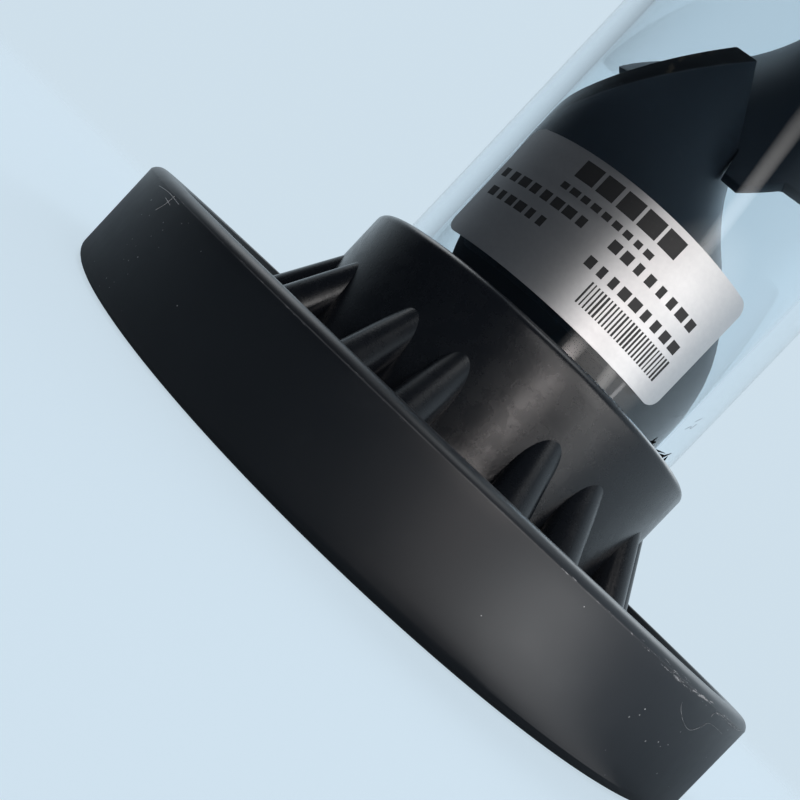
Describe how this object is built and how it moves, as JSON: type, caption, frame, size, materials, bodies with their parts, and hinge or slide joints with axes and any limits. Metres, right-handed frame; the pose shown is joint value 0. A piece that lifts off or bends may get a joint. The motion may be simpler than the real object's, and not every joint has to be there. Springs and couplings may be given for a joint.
{
  "type": "static mixer",
  "caption": "In-line static mixer: a clear pipe cemented between two ribbed, drilled socket flanges, holding a stack of twisted plates that split and fold the flow.",
  "frame": {"origin": "centre of the lower flange's sealing face, on the pipe axis", "axes": "+Z along the pipe axis from the lower flange to the upper one; -Y through one bolt hole of each flange"},
  "size_m": [0.19, 0.19, 0.7323],
  "materials": {
    "flange_plastic": "moulded dark grey rigid plastic, satin with a soft sheen and fine scuffs",
    "clear_plastic": "clear extruded rigid plastic, polished, with a faint blue cast",
    "label_foil": "pale silver satin foil label with plain dark bars",
    "plate_plastic": "moulded dark grey plastic, dull satin"
  },
  "bodies": {
    "root": {"lower_flange": "flange_plastic", "upper_flange": "flange_plastic", "clear_pipe": "clear_plastic", "rating_label": "label_foil", "mixing_element_1": "plate_plastic", "mixing_element_2": "plate_plastic", "mixing_element_3": "plate_plastic", "mixing_element_4": "plate_plastic", "mixing_element_5": "plate_plastic", "mixing_element_6": "plate_plastic"}
  },
  "joints": []
}
